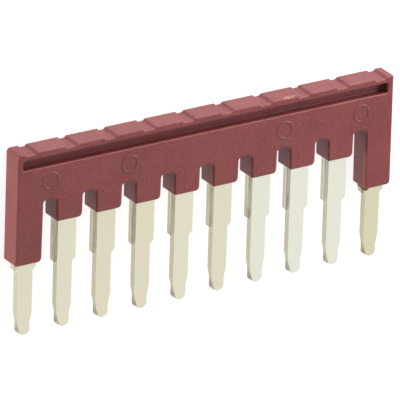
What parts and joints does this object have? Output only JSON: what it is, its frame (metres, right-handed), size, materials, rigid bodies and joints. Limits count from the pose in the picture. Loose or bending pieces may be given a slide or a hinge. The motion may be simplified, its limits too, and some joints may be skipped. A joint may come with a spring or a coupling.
{
  "type": "terminal block jumper bar",
  "caption": "Insulated comb-shaped jumper bar with a row of flat plated blades that push into neighbouring terminal blocks and join them into one circuit.",
  "frame": {"origin": "centre of the overall box, on the plane of the flat back face that the bar lies on", "axes": "+X along the bar from its first pole to its last, +Y along the plug axis towards the press face and away from the blade tips, +Z out of the front face with the levering groove"},
  "size_m": [0.0504, 0.0228, 0.0029],
  "materials": {
    "housing": "fine matt grain, moulded polyamide",
    "front_comb": "matt tin plate on a stamped copper alloy",
    "rear_comb": "matt tin plate on a stamped copper alloy"
  },
  "bodies": {
    "root": {"housing": "housing", "front_comb": "front_comb", "rear_comb": "rear_comb"}
  },
  "joints": []
}
